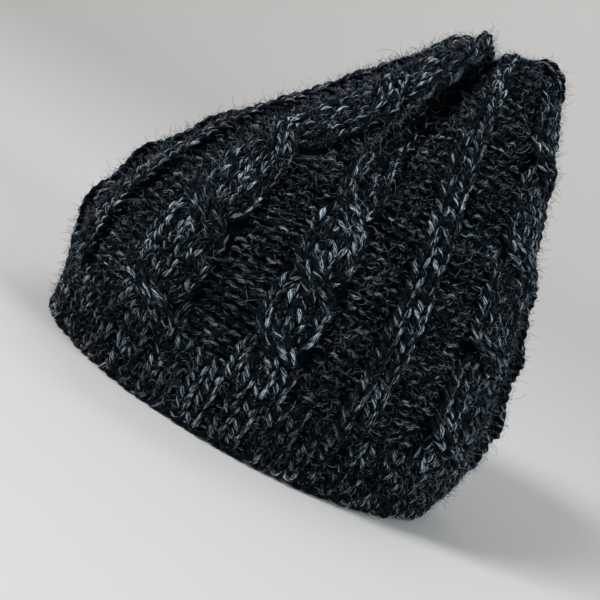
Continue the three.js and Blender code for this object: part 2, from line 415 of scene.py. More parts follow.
# %% [markdown]
# ## The marled yarn
#
# The yarn is wool of two plies: one nearly black with a little blue, and one where pale blue-grey fibres
# are mixed in. Twisted together, they show as short slanting flecks, never as stripes. The material turns
# each vertex's place in the yarn by an angle that grows along it, which winds the pale ply round like a
# screw, and breaks it up with a coarse and a fine noise that are stretched along the fibres. A third noise,
# fixed to the hat, makes some stretches paler than others. The two stretched ones also lift the fibres as
# bump. Flecks and haze show only on the outer side of a stitch: its inner side is left dark as painted shade.
#
# One function makes three copies of the one yarn, lit and shaded, that differ only in how much pale fibre
# is painted in: the ropes stand in the light and get the most, the brim's ribbing less and the purl ground
# the least, as painted shade. Loose fibres are too thin for flecks, so each of them has a single tone.

# %% A material for yarn
PLY_TWIST = 2 * math.pi / (15 * MM)
FIBRE_STRETCH = 0.11
FIBRE_SCALE = 2.4
FINE_SCALE = 4.2
PATCH_SCALE = 55.0
PALE_PLY_RAMP = (0.0, 0.7)
# which side of the yarn gets flecks; the other side is painted shade
UNSHADED_SIDE_RAMP = (-0.1, 0.7)
FLECK_RAMP = (0.48, 0.6)
HAZE_RAMP = (0.55, 0.66)
PATCH_RAMP = (0.3, 0.68)
HAZE = 0.05
MOSTLY_DARK = 1.5


def new_node(tree, kind, **settings):
    """A shader node with some of its settings."""
    node = tree.nodes.new("ShaderNode" + kind)
    for name, value in settings.items():
        setattr(node, name, value)
    return node


def math_node(tree, operation, *operands):
    """The result of a sum or product of sockets and numbers."""
    node = new_node(tree, "Math", operation=operation)
    for socket, value in zip(node.inputs, operands):
        if isinstance(value, (int, float)):
            socket.default_value = value
        else:
            tree.links.new(value, socket)
    return node.outputs[0]


def ramp_node(tree, value, low, high):
    """0 below low and 1 above high, with a smooth step between."""
    node = new_node(tree, "MapRange", interpolation_type="SMOOTHSTEP")
    node.inputs["From Min"].default_value = low
    node.inputs["From Max"].default_value = high
    tree.links.new(value, node.inputs["Value"])
    return node.outputs["Result"]


def noise_node(tree, vector, scale, detail, distortion=0.0):
    """Noise over the given coordinates, between 0 and 1."""
    node = new_node(tree, "TexNoise")
    node.inputs["Scale"].default_value = scale
    node.inputs["Detail"].default_value = detail
    node.inputs["Roughness"].default_value = 0.6
    node.inputs["Distortion"].default_value = distortion
    tree.links.new(vector, node.inputs["Vector"])
    return node.outputs["Fac"]


def yarn_material(name, dark, pale, light_amount):
    """Wool of two twisted plies. The last argument is how much pale fibre is painted in; less paints shade.
    """
    material = bpy.data.materials.new(name)
    material.use_nodes = True
    tree = material.node_tree
    shader = tree.nodes["Principled BSDF"]
    place = new_node(tree, "Attribute", attribute_name="yarn").outputs["Vector"]
    split = new_node(tree, "SeparateXYZ")
    tree.links.new(place, split.inputs[0])
    turned = new_node(tree, "VectorRotate", rotation_type="Z_AXIS")
    tree.links.new(place, turned.inputs["Vector"])
    tree.links.new(math_node(tree, "MULTIPLY", split.outputs["Z"], PLY_TWIST), turned.inputs["Angle"])
    plies = new_node(tree, "SeparateXYZ")
    tree.links.new(turned.outputs[0], plies.inputs[0])

    fibre_place = new_node(tree, "CombineXYZ")
    tree.links.new(plies.outputs["X"], fibre_place.inputs["X"])
    tree.links.new(plies.outputs["Y"], fibre_place.inputs["Y"])
    slow = math_node(tree, "MULTIPLY", split.outputs["Z"], FIBRE_STRETCH / YARN)
    tree.links.new(slow, fibre_place.inputs["Z"])
    fibres = noise_node(tree, fibre_place.outputs[0], FIBRE_SCALE, 3.0, 0.3)
    fine = noise_node(tree, fibre_place.outputs[0], FINE_SCALE, 2.0)

    on_the_hat = new_node(tree, "TexCoord").outputs["Object"]
    patches = noise_node(tree, on_the_hat, PATCH_SCALE, 2.0)

    pale_ply = ramp_node(tree, plies.outputs["X"], *PALE_PLY_RAMP)
    # painted shade: flecks and haze are kept off the inner side of each stitch, which is left dark
    unshaded_side = ramp_node(tree, split.outputs["Y"], *UNSHADED_SIDE_RAMP)
    flecks = ramp_node(tree, fibres, *FLECK_RAMP)
    fluff = ramp_node(tree, fine, *HAZE_RAMP)
    paler = ramp_node(tree, patches, *PATCH_RAMP)
    streaks = math_node(tree, "MULTIPLY", math_node(tree, "MULTIPLY", pale_ply, unshaded_side), flecks)
    streaks = math_node(tree, "MULTIPLY", streaks, math_node(tree, "MULTIPLY_ADD", paler, 0.85, 0.3))
    streaks = math_node(tree, "MULTIPLY", streaks, math_node(tree, "MULTIPLY_ADD", fine, 3.0, -0.5))
    haze = math_node(tree, "MULTIPLY", math_node(tree, "MULTIPLY", fluff, unshaded_side), HAZE)
    # painted light and shade: the same yarn gets a larger or smaller share of pale fibre by where it lies
    share = math_node(tree, "MULTIPLY", math_node(tree, "ADD", streaks, haze), light_amount)

    colour = new_node(tree, "Mix", data_type="RGBA")
    colour.inputs["A"].default_value = (*dark, 1)
    colour.inputs["B"].default_value = (*pale, 1)
    tree.links.new(share, colour.inputs["Factor"])
    tree.links.new(colour.outputs["Result"], shader.inputs["Base Color"])

    bump = new_node(tree, "Bump")
    bump.inputs["Strength"].default_value = 0.75
    bump.inputs["Distance"].default_value = 0.5 * MM
    lift = math_node(tree, "ADD", fibres, math_node(tree, "MULTIPLY", fine, 0.5))
    tree.links.new(lift, bump.inputs["Height"])
    tree.links.new(bump.outputs[0], shader.inputs["Normal"])
    shader.inputs["Roughness"].default_value = 0.85
    shader.inputs["Specular IOR Level"].default_value = 0.03
    shader.inputs["Sheen Weight"].default_value = 0.003
    shader.inputs["Sheen Roughness"].default_value = 0.5
    shader.inputs["Sheen Tint"].default_value = (0.55, 0.66, 0.8, 1)
    return material


def fibre_material(name, dark, pale):
    """Each fibre has one tone between dark and pale, from the number that its vertices carry."""
    material = bpy.data.materials.new(name)
    material.use_nodes = True
    tree = material.node_tree
    shader = tree.nodes["Principled BSDF"]
    split = new_node(tree, "SeparateXYZ")
    place = new_node(tree, "Attribute", attribute_name="yarn").outputs["Vector"]
    tree.links.new(place, split.inputs[0])
    colour = new_node(tree, "Mix", data_type="RGBA")
    colour.inputs["A"].default_value = (*dark, 1)
    colour.inputs["B"].default_value = (*pale, 1)
    tree.links.new(math_node(tree, "POWER", split.outputs["X"], MOSTLY_DARK), colour.inputs["Factor"])
    tree.links.new(colour.outputs["Result"], shader.inputs["Base Color"])
    shader.inputs["Roughness"].default_value = 0.8
    shader.inputs["Specular IOR Level"].default_value = 0.1
    return material


DARK = (0.0009, 0.0023, 0.0038)
PALE = (0.31, 0.38, 0.43)
# Three lit and shaded copies of the same yarn: the smaller shares of pale fibre are painted shade
cabled = yarn_material("cabled_wool", DARK, PALE, 1.05)
ground = yarn_material("ground_wool", DARK, PALE, 0.62)
ribbed = yarn_material("ribbed_wool", DARK, PALE, 0.76)
fluffy = fibre_material("loose_fibres", (0.008, 0.011, 0.014), (0.19, 0.24, 0.28))
print("materials:", [material.name for material in (cabled, ground, ribbed, fluffy)])

# %% [markdown]
# ## A knit stitch
#
# Seen from outside, a knit stitch is a V: two legs that rise from one point, lean apart and slip behind the
# V above. Each leg is one short tube, thick and high in the middle, and thin and low at both ends, where
# its neighbours hold it down. The legs follow a path that says where the middle of their column runs, so
# the same function knits a straight rib and a rope that leans over its neighbour. Nothing that is knitted
# by hand is even, so each stitch is a little off in place, height and thickness.

# %% Knit stitches
LEG_POINTS = 5
LEG_SIDES = 6
LEG_FOOT = -0.34
LEG_HEAD = 1.12
LEG_JITTER = np.array((0.035, 0.22, 0.06))[:, None, None]
LEG_SPREAD = (0.1, 0.3)
LEG_ARCH = 1.3
LEG_DEPTH = 1.2
LEG_HEAD_DEPTH = 1.3
LEG_THIN = 0.5
LEG_BELLY = 0.52
LEG_FLAT = 0.85
NORMAL_WIDTH = 6.2 * MM
SIZE_LIMITS = (0.45, 1.05)
AHEAD = 1.0 * MM


def lean_of(path, u, v):
    """How far a column leans over at each place, as an angle."""
    return np.arctan2((path(v + AHEAD)[0] - u) * quarter_length(u, v), AHEAD)


def knit(path, courses, yarn=YARN):
    """Both legs of the knit stitches of one column, at the given courses."""
    s = np.linspace(0, 1, LEG_POINTS)[None]
    count = len(courses)
    shift, raise_by, thicker = rng.normal(0, 1, (3, count, 1)) * LEG_JITTER
    parts = []
    for side in (-1, 1):
        v = (courses[:, None] + LEG_FOOT + (LEG_HEAD - LEG_FOOT) * s + 0.1 * shift) * COURSE
        middle, height, width = path(v)
        lean = lean_of(path, middle, v)
        size = np.clip(width * np.sqrt(np.cos(lean)) / NORMAL_WIDTH, *SIZE_LIMITS)
        offset = width * np.cos(lean) * (side * (LEG_SPREAD[0] + LEG_SPREAD[1] * smooth(s)) + shift)
        u = middle + offset * np.cos(lean) / quarter_length(middle, v)
        arch = LEG_ARCH * np.sin(math.pi * s) - LEG_DEPTH - LEG_HEAD_DEPTH * s ** 3
        height = height + (arch + raise_by) * MM * size
        lines, normals = on_hat(u, v - offset * np.sin(lean), height)
        radii = yarn * size * (LEG_THIN + LEG_BELLY * np.sin(math.pi * s)) * (1 + thicker)
        parts.append(tubes(lines, normals, radii, LEG_SIDES, flat=LEG_FLAT))
    return parts


print("a leg of a knit stitch spans", round(1000 * (LEG_HEAD - LEG_FOOT) * COURSE, 1), "mm")


# %% [markdown]
# ## The ropes
#
# A rope is two strands of knit stitches that change sides: every few courses the knitter puts half of the
# stitches on a spare needle, knits the others first, and so crosses one strand over the other. The strand
# that crosses over stands proud, and the other one dives under it. All crossings go the same way, so the
# strands wind round each other. Each column of stitches gets a path that walks from slot to slot with a
# smooth step at every crossing.

# %% Paths of the rope's stitches
CROSS_COURSES = 5.6
OVER = 2.8 * MM
UNDER = 2.0 * MM
STRAND_SPREAD = 0.22
STRAND_ROUND = 1.3 * MM
OVER_ROUND = 0.5


def rope_path(quarter, index, place):
    """The path of one column of stitches in a rope: its u, height and width at any v."""
    column = PATTERN[index]
    half = column.stitches // 2
    crossings = np.arange(column.first_cross, column.last_cross + 1, column.cross_every)

    def path(v):
        slot = np.full(v.shape, place + 0.5)
        lift = np.zeros(v.shape)
        crossing = np.zeros(v.shape)
        at = place
        for middle in crossings:
            t = np.clip((v / COURSE - middle) / CROSS_COURSES + 0.5, 0, 1)
            hump = np.sin(math.pi * t) ** 1.5
            over = at >= half
            slot = slot + (-half if over else half) * smooth(t)
            lift = lift + (OVER if over else -UNDER) * hump
            crossing = crossing + hump
            at = (at + half) % column.stitches
        start, wide = column_at(index, v)
        off = (slot / column.stitches - 0.5) * (1 + STRAND_SPREAD * crossing)
        strand_off = ((place % half) + 0.5) / half * 2 - 1
        top = column.height * np.sqrt(np.clip(1 - (2 * off) ** 4, 0.1, 1))
        height = top + lift - (STRAND_ROUND + OVER_ROUND * np.maximum(lift, 0)) * strand_off ** 2
        u = quarter + start + wide * (0.5 + off)
        width = wide / column.stitches * quarter_length(u, v) * (1 + STRAND_SPREAD * crossing)
        return u, height, width

    return path


def crossing_count(column):
    """How often a rope crosses on its way up."""
    return len(np.arange(column.first_cross, column.last_cross + 1, column.cross_every))


def straight_path(quarter, index, place):
    """The path of a column that runs straight up, in a rib or in the purl ground."""
    column = PATTERN[index]

    def path(v):
        start, wide = column_at(index, v)
        u = quarter + start + wide * (place + 0.5) / column.stitches
        width = wide / column.stitches * quarter_length(u, v)
        return u, np.full(v.shape, column.height), width

    return path


for column in PATTERN:
    if column.cross_every:
        print("a", column.name, "crosses", crossing_count(column), "times")


# %% [markdown]
# ## Fewer stitches near the middle
#
# Where the top is drawn in, the same stitches would have to squeeze into less and less room. A knitter
# knits them together in pairs, and the closing yarn pulls the last ones tight. So from a certain course on
# only every second column goes on, twice as wide, and later every fourth.

# %% Which columns go on
PAIRED_COURSE = 48
PAIRED_AGAIN_COURSE = 52


def stretches(place):
    """The courses that a column reaches, each with how many columns it stands for there."""
    found = [(np.arange(FIRST_CROWN_COURSE, PAIRED_COURSE), 1)]
    if place % 2 == 0:
        found.append((np.arange(PAIRED_COURSE, PAIRED_AGAIN_COURSE), 2))
    if place % 4 == 0:
        found.append((np.arange(PAIRED_AGAIN_COURSE, LAST_COURSE), 4))
    return found


def widened(path, columns):
    """The same path for a column that stands for several."""
    if columns == 1:
        return path

    def wide_path(v):
        u, height, width = path(v)
        return u + (columns - 1) / 2 / STITCHES, height, width * columns

    return wide_path


for course in (FIRST_CROWN_COURSE, PAIRED_COURSE, PAIRED_AGAIN_COURSE):
    left = [place for place in range(4) if any(course in courses for courses, _ in stretches(place))]
    print("from course", course, "on,", len(left), "of each four columns go on")

# %% [markdown]
# ## Knitting the crown's ropes and ribs
#
# With the paths laid out, knitting is a walk over the table: four repeats, each column of stitches in
# turn. The ropes and the ribs become three pieces, and their tubes are kept, since the loose fibres grow
# from them later.

# %% Knit the ropes and the ribs
rope_parts = {"narrow_ropes": [], "wide_ropes": []}
rib_parts = []
for q in range(QUARTERS):
    for index, column in enumerate(PATTERN):
        if column.name == "ground":
            continue
        for place in range(column.stitches):
            path = (rope_path if column.cross_every else straight_path)(q, index, place)
            parts = rib_parts if column.name == "rib" else rope_parts[column.name.replace(" ", "_") + "s"]
            for courses, columns in stretches(place):
                parts += knit(widened(path, columns), courses)

# The ropes and ribs take the lit copy of the yarn, with the most pale fibre: painted light
crown_narrow_ropes = make_object("crown_narrow_ropes", rope_parts["narrow_ropes"], cabled)
crown_wide_ropes = make_object("crown_wide_ropes", rope_parts["wide_ropes"], cabled)
crown_ribs = make_object("crown_ribs", rib_parts, cabled)

# %% [markdown]
# ## The inside of the ropes
#
# A real rope is full: under the legs that show lie the backs of the same stitches. Where one strand climbs
# over the other, an empty rope would let the light through at its sides. So a flat tube runs inside each
# strand, takes the same path as the middle of its stitches, and ends before the top, where all runs
# together. It shows only as a shade between two legs, so it takes the shaded copy of the yarn, painted shade.

# %% Fill the ropes
CORE_DEPTH = 4.2 * MM
CORE_THICK = 2.4 * MM
CORE_WIDTH = 0.34
CORE_STEPS = 80
CORE_SIDES = 8


def rope_core(quarter, index, strand):
    """The yarn inside one strand of a rope, which the stitches lie on: one flat tube."""
    half = PATTERN[index].stitches // 2
    path = rope_path(quarter, index, strand * half + (half - 1) / 2)
    v = np.linspace(BRIM_HEIGHT + COURSE / 2, PATH - GATHERED - GATHER / 3, CORE_STEPS)[None]
    u, height, width = path(v)
    reach = width * np.cos(lean_of(path, u, v)) * half * CORE_WIDTH
    thick = CORE_THICK * layers(v)
    lines, normals = on_hat(u, v, height - CORE_DEPTH)
    return tubes(lines, normals, reach, CORE_SIDES, flat=(thick / reach)[..., None, None])


core_parts = []
for q in range(QUARTERS):
    for index, column in enumerate(PATTERN):
        if column.cross_every:
            core_parts += [rope_core(q, index, strand) for strand in (0, 1)]
crown_rope_cores = make_object("crown_rope_cores", core_parts, ground)

# %% [markdown]
# ## The purl ground
#
# A purl stitch is the back of a knit one. It shows no V, only the arcs that join the stitches: the head of
# each loop, which bends up, and the arc between two loops, which hangs down. Worn and a little felted, they
# are nearly flat here and look like stacked dashes. They lie lower than the ropes and in their shadow, and
# their yarn has the least pale fibre, as painted shade, which is why the ground looks almost black.

# %% Purl stitches
ARC_POINTS = 5
ARC_SIDES = 5
PURL_YARN = 1.15 * MM
ARC_JITTER = np.array((0.04, 0.2, 0.06))[:, None, None]
ARC_BEND = 0.17
ARC_REACH = 0.52
ARC_RISE = 1.4
ARC_DEPTH = 3.3
ARC_THIN = 0.7
ARC_BELLY = 0.3


def purl(path, courses, beside=0.0, bend=ARC_BEND):
    """The arcs of one purl column. beside moves them by a share of a stitch, and bend is up or down."""
    s = np.linspace(-1, 1, ARC_POINTS)[None]
    count = len(courses)
    shift, raise_by, thicker = rng.normal(0, 1, (3, count, 1)) * ARC_JITTER
    arch = 1 - s ** 2
    v = (courses[:, None] + 0.5 + bend * (2 * arch - 1) + 0.12 * shift) * COURSE
    middle, height, width = path(v)
    size = np.clip(width / NORMAL_WIDTH, *SIZE_LIMITS)
    u = middle + width * (beside + ARC_REACH * s + shift) / quarter_length(middle, v)
    height = height + (ARC_RISE * arch - ARC_DEPTH + raise_by) * MM * size
    lines, normals = on_hat(u, v, height)
    radii = PURL_YARN * size * (ARC_THIN + ARC_BELLY * arch) * (1 + thicker)
    return tubes(lines, normals, radii, ARC_SIDES)


ground_parts = [[], []]
for q in range(QUARTERS):
    for index, column in enumerate(PATTERN):
        if column.name != "ground":
            continue
        for place in range(column.stitches):
            for courses, columns in stretches(place):
                path = widened(straight_path(q, index, place), columns)
                ground_parts[q // 2].append(purl(path, courses))
                ground_parts[q // 2].append(purl(path, courses, beside=0.5, bend=-ARC_BEND))

crown_ground_back = make_object("crown_ground_back", ground_parts[0], ground)
crown_ground_front = make_object("crown_ground_front", ground_parts[1], ground)

# %% [markdown]
# ## The ribbed brim
#
# The brim is knitted first, knit two purl one, which draws in and grips the head. Its 96 stitches are the
# crown's own, so a pair of knit columns stands at every third line between two stitches, starting from the
# middle of the crease. At the very edge lies the cast-on: a row of loops that hang side by side, one for
# each stitch, which gives the rim its fine, uneven teeth.

# %% Knit the brim
BRIM_RIB_TOP = 1.4 * MM
BRIM_PURL_TOP = 2.2 * MM
BRIM_KNIT_WIDTH = 1.2
BRIM_PURL_WIDTH = 0.6


def brim_path(quarter, stitch):
    """The path of one column in the brim. Of each three, the second is purl and the others are knit."""
    purl_column = stitch % 3 == 1
    middle = stitch + 0.5 - (stitch % 3 - 1) * (1 - (BRIM_KNIT_WIDTH + BRIM_PURL_WIDTH) / 2)
    height = BRIM_PURL_TOP if purl_column else BRIM_RIB_TOP
    stitch_width = BRIM_PURL_WIDTH if purl_column else BRIM_KNIT_WIDTH

    def path(v):
        u = np.full(v.shape, quarter + middle / STITCHES)
        return u, np.full(v.shape, height), quarter_length(u, v) / STITCHES * stitch_width

    return path


brim_courses = np.arange(1, BRIM_COURSES + 0.5)
brim_parts = []
for q in range(QUARTERS):
    for stitch in range(STITCHES):
        if stitch % 3 == 1:
            brim_parts.append(purl(brim_path(q, stitch), brim_courses - 0.5))
        else:
            brim_parts += knit(brim_path(q, stitch), brim_courses - 0.35)
# The brim's ribbing takes the half-shaded copy of the yarn, with less pale fibre as painted shade
brim_ribbing = make_object("brim_ribbing", brim_parts, ribbed)

# %% Cast on the edge
EDGE_POINTS = 6
EDGE_YARN = 1.5 * MM
EDGE_WOBBLE = np.array((0.08, 0.3))[:, None, None]
EDGE_REACH = 0.58
EDGE_CLEARANCE = (0.2, 1.1)


def cast_on():
    """A loop under each stitch, which hangs down and bulges outwards, and ends just above the ground."""
    stitch = np.arange(QUARTERS * STITCHES)[:, None]
    s = np.linspace(-1, 1, EDGE_POINTS)[None]
    wobble = rng.normal(0, 1, (2, len(stitch), 1)) * EDGE_WOBBLE
    u = (stitch + 0.5 + EDGE_REACH * s + wobble[0]) / STITCHES
    arch = 1 - s ** 2
    v = (4.4 - 2.4 * arch + 0.9 * s) * MM
    height = (0.2 + 1.5 * arch + wobble[1]) * MM
    lines, normals = on_hat(u, v, height)
    radii = EDGE_YARN * (0.6 + 0.4 * arch) * (1 + wobble[0])
    lowest = (lines[..., 2] - radii).min(axis=1)
    clear = rng.uniform(*EDGE_CLEARANCE, len(lowest)) * MM
    lines[..., 2] -= (lowest - clear)[:, None]
    return tubes(lines, normals, radii, ARC_SIDES + 1)


# The cast-on takes the half-shaded copy of the yarn: painted shade
cast_on_edge = make_object("cast_on_edge", [cast_on()], ribbed)

# %% [markdown]
# ## The inside of the wall
#
# Between and under the stitches lies more yarn: the legs of the purl stitches and the back of the knit
# ones. Only its shadowed top shows through from outside, and the hat's inner face shows from below. A
# closed shell does for both. Its outer face rises a little under the ropes but stays below the stitches, and
# its inner face has a ridge for each course. The shell's columns lie closer together at the creases, which
# are sharp, and its lining closes as a cone between them. Its vertices get yarn coordinates too, as if each
# course were one yarn.

# %% A closed shell under the stitches
WALL = 5.6 * MM
LINING_END = 0.47
HOLLOW_TOP = 0.8
LINING_RINGS = 66
CONE_RINGS = 20
OUTER_RINGS = 56
PIECE_GAP = 0.3 * MM
SHELL_COLUMNS = 192
CLOSER = 0.11
RIDGE = 0.5 * MM
UNDER_STITCHES = 3.5 * MM
WALL_FOLLOWS = 0.4
LOWER_PART = 100
POLE_DEPTH = 3 * MM
BRIM_INNER_RINGS = 22
BRIM_OUTER_RINGS = 8
BRIM_OUTSIDE = -1.9 * MM
BRIM_FOOT = 0.6 * MM


def relief(u, v):
    """The height of the ropes and ribs over the purl ground."""
    share = u % 1
    height = np.zeros(np.broadcast(u, v).shape)
    for index, column in enumerate(PATTERN):
        start, wide = column_at(index, v)
        off = share - (start + wide / 2)
        off = np.abs(off - np.round(off)) / (wide / 2)
        height = np.maximum(height, column.height * np.sqrt(np.clip(1 - off ** 4, 0, 1)))
    return height


def ring(v, height_of):
    """One ring of the shell, with its yarn coordinates."""
    even = np.arange(SHELL_COLUMNS) * QUARTERS / SHELL_COLUMNS
    u = even - CLOSER * np.sin(2 * math.pi * even)
    v = np.full(SHELL_COLUMNS, v)
    points, _ = on_hat(u, v, height_of(u, v))
    angle = 2 * math.pi * v / COURSE
    yarn = np.stack((np.cos(angle), np.sin(angle), u * quarter_length(u, v)), axis=-1)
    return points, yarn


def under_the_stitches(u, v):
    """The height of the wall's outer face."""
    return relief(u, v) * WALL_FOLLOWS - UNDER_STITCHES


def inner_face(u, v):
    """The height of the wall's inner face, with a ridge for each course."""
    ridges = np.abs(np.sin(math.pi * v / COURSE))
    return np.where(layers(v) > 0, -WALL - RIDGE * ridges + RIDGE, 0)


def cone(last, tip):
    """Rings from the last one of the lining up to its tip, each second one a ridge."""
    points, yarn = last
    rings = []
    for n in range(1, CONE_RINGS):
        share = n / CONE_RINGS
        ridged = points + unit(tip - points) * RIDGE * (n % 2)
        rings.append((ridged * (1 - share) + np.array(tip) * share, yarn + (0, 0, n * COURSE / 2)))
    return rings


def shell(rings, poles):
    """Vertices, quads, triangles and yarn coordinates of a closed body of rings."""
    count = SHELL_COLUMNS
    points = np.concatenate([points for points, _ in rings])
    yarn = np.concatenate([yarn for _, yarn in rings])
    here = np.arange(count)
    there = (here + 1) % count
    joins = len(rings) - 1 if poles else len(rings)
    quads = []
    for r in range(joins):
        low, high = r * count, (r + 1) % len(rings) * count
        quads.append(np.stack((low + here, low + there, high + there, high + here), -1))
    caps = np.empty((0, 3), int)
    if poles:
        end = (len(rings) - 1) * count
        first_pole = np.full(count, len(points))
        caps = np.concatenate((np.stack((first_pole, there, here), -1),
                               np.stack((first_pole + 1, end + here, end + there), -1)))
        points = np.concatenate((points, poles))
        yarn = np.concatenate((yarn, np.zeros((2, 3))))
    return points, np.concatenate(quads), caps, yarn


seat = BRIM_HEIGHT + PIECE_GAP
corner_heights = outline(table_rows, np.array((QUARTER / 2,)))[:, 0, 2]
seat_length = np.interp(seat, corner_heights[:LOWER_PART], climbed[:LOWER_PART])
brim_top = np.interp(BRIM_HEIGHT, corner_heights[:LOWER_PART], climbed[:LOWER_PART])
inner = [ring(v, inner_face) for v in np.linspace(seat_length, LINING_END * PATH, LINING_RINGS)]
outer = [ring(v, under_the_stitches) for v in np.linspace(seat_length, PATH - GATHERED, OUTER_RINGS)]
inner[0][0][:, 2] = seat
outer[0][0][:, 2] = seat
lining_row = np.interp([LINING_END * PATH], climbed, table_rows)
hollow_axis = float(section_at(lining_row)["axis"][0, 0]) * HAT_LENGTH
hollow_tip = (0, hollow_axis, HOLLOW_TOP * HAT_HEIGHT)
inner += cone(inner[-1], hollow_tip)
poles = [hollow_tip, tuple(hat_map[-1, 0] - (0, 0, POLE_DEPTH))]
# The shell takes the shaded copy of the yarn: painted shade
crown_wall = make_object("crown_wall", [shell(inner[::-1] + outer, poles)], ground)



def brim_outer_face(u, v):
    """The height of the brim wall's outer face, the same all round."""
    return np.full(u.shape, BRIM_OUTSIDE)


brim_inside = [ring(v, inner_face) for v in np.linspace(brim_top, 0, BRIM_INNER_RINGS)]
brim_outside = [ring(v, brim_outer_face) for v in np.linspace(0, brim_top, BRIM_OUTER_RINGS)]
for rings in (brim_inside[:1], brim_outside[-1:]):
    rings[0][0][:, 2] = BRIM_HEIGHT
for rings in (brim_inside[-1:], brim_outside[:1]):
    rings[0][0][:, 2] = BRIM_FOOT
# The brim's shell takes the half-shaded copy of the yarn: painted shade
brim_wall = make_object("brim_wall", [shell(brim_outside + brim_inside, None)], ribbed)

# %% [markdown]
# ## Fluff
#
# Wool is never clean-edged. Short fibres work loose all over the yarn, and they are what makes the outline
# soft and greyish against a pale background. Blender's hair system would do it, but hair isn't a mesh and
# is lost when the model leaves Blender. So each fibre is a small closed mesh: most are thin bent spindles
# with three sides, and some are longer tubes that curl. All start on the skin of a stitch that was made
# above and lean outwards.

# %% Shapes of loose fibres
ROUND_THE_FIBRE = 3


def spindles(roots, middles, tips, radii, tones):
    """Short fibres with a bend, six triangles each: the two ends and three points round the middle."""
    along = unit(tips - roots)
    sideways = unit(np.cross(along, middles - roots))
    inwards = np.cross(along, sideways)
    angle = 2 * math.pi * np.arange(ROUND_THE_FIBRE) / ROUND_THE_FIBRE
    circle = sideways[:, None] * np.cos(angle)[:, None] + inwards[:, None] * np.sin(angle)[:, None]
    waist = middles[:, None] + radii[:, None, None] * circle
    points = np.concatenate((roots[:, None], waist, tips[:, None]), axis=1)
    here = 1 + np.arange(ROUND_THE_FIBRE)
    there = 1 + (here % ROUND_THE_FIBRE)
    size = ROUND_THE_FIBRE + 2
    faces = np.concatenate((np.stack((np.zeros_like(here), there, here), -1),
                            np.stack((np.full_like(here, size - 1), here, there), -1)))
    faces = faces[None] + (size * np.arange(len(roots)))[:, None, None]
    yarn = np.repeat(tones[:, None, None], size, axis=1) * np.ones(3)
    return points.reshape(-1, 3), np.empty((0, 4), int), faces.reshape(-1, 3), yarn.reshape(-1, 3)


def curls(lines, radii, tones):
    """Long curly fibres: three-sided tubes that taper to a point at both ends."""
    steps = lines.shape[1]
    taper = np.sin(np.linspace(0.12, 0.88, steps) * math.pi) ** 0.5
    outward = unit(rng.normal(0, 1, (len(lines), 1, 3))) * np.ones((1, steps, 1))
    points, quads, caps, yarn, _ = tubes(lines, outward, radii[:, None] * taper, ROUND_THE_FIBRE)
    yarn[:] = np.repeat(tones, steps * ROUND_THE_FIBRE + 2)[:, None]
    return points, quads, caps, yarn


print("a short fibre takes", 2 * ROUND_THE_FIBRE, "triangles")

# %% Loose fibres
FIBRE = 0.075 * MM
CURL_STEPS = 7
CURL_TURN = 0.42
CURL_STRAY = 0.12
CURL_BACK = 0.08
OUTER = 0.1
LOWEST_FIBRE = 0.3 * MM
SIZE_SPREAD = 0.4
SIZE_RANGE = (0.4, 2.4)


def growing_places(parts, count):
    """Random places on the outer side of the yarn, and the way out of the hat at each."""
    points, ways_out = (np.concatenate([part[n] for part in parts]) for n in (0, 4))
    outer = np.concatenate([part[3][:, 1] for part in parts]) > OUTER
    picked = rng.permutation(np.flatnonzero(outer))[:count]
    return points[picked], ways_out[picked]


def short_fibres(parts, count, mean_length):
    """Fibres that lean outwards from the yarn and bend once."""
    roots, out = growing_places(parts, count)
    heading = unit(out * rng.uniform(0.2, 1.1, (len(roots), 1)) + rng.normal(0, 0.55, roots.shape))
    curl = unit(heading + rng.normal(0, 0.6, roots.shape))
    size = mean_length * np.clip(rng.lognormal(0, SIZE_SPREAD, (len(roots), 1)), *SIZE_RANGE)
    middles = roots + size * 0.5 * heading
    tips = middles + size * 0.5 * curl
    for places in (middles, tips):
        places[:, 2] = np.maximum(places[:, 2], LOWEST_FIBRE)
    radii = FIBRE * rng.uniform(0.7, 1.3, len(roots))
    return spindles(roots, middles, tips, radii, rng.uniform(0, 1, len(roots)))


def curly_fibres(parts, count, mean_length):
    """Fibres that leave the yarn and wind back towards it."""
    roots, out = growing_places(parts, count)
    heading = unit(out * rng.uniform(0.3, 1.0, (len(roots), 1)) + rng.normal(0, 0.5, roots.shape))
    turn = unit(rng.normal(0, 1, roots.shape))
    size = mean_length * np.clip(rng.lognormal(0, SIZE_SPREAD, (len(roots), 1)), *SIZE_RANGE)
    places = [roots]
    for _ in range(CURL_STEPS - 1):
        places.append(places[-1] + heading * size / (CURL_STEPS - 1))
        stray = rng.normal(0, CURL_STRAY, roots.shape)
        heading = unit(heading + CURL_TURN * np.cross(heading, turn) + stray - CURL_BACK * out)
    lines = np.stack(places, axis=1)
    lines[..., 2] = np.maximum(lines[..., 2], LOWEST_FIBRE)
    radii = FIBRE * rng.uniform(0.7, 1.1, len(roots))
    return curls(lines, radii, rng.uniform(0.2, 1, len(roots)))


print("a fibre is", round(2000 * FIBRE, 2), "mm thick on average")

# %% Grow the fluff
SHORT_ON_HALF = 21500
CURLY_ON_HALF = 650
SHORT_ON_BRIM = 8000
CURLY_ON_BRIM = 160


rope_and_rib_parts = rope_parts["narrow_ropes"] + rope_parts["wide_ropes"] + rib_parts
half = len(rope_and_rib_parts) // 2
back_parts = rope_and_rib_parts[:half] + ground_parts[0]
front_parts = rope_and_rib_parts[half:] + ground_parts[1]


def grow(name, parts, counts, mean_lengths):
    """One piece of loose fibres, the short ones first."""
    short = short_fibres(parts, counts[0], mean_lengths[0])
    return make_object(name, [short, curly_fibres(parts, counts[1], mean_lengths[1])], fluffy)


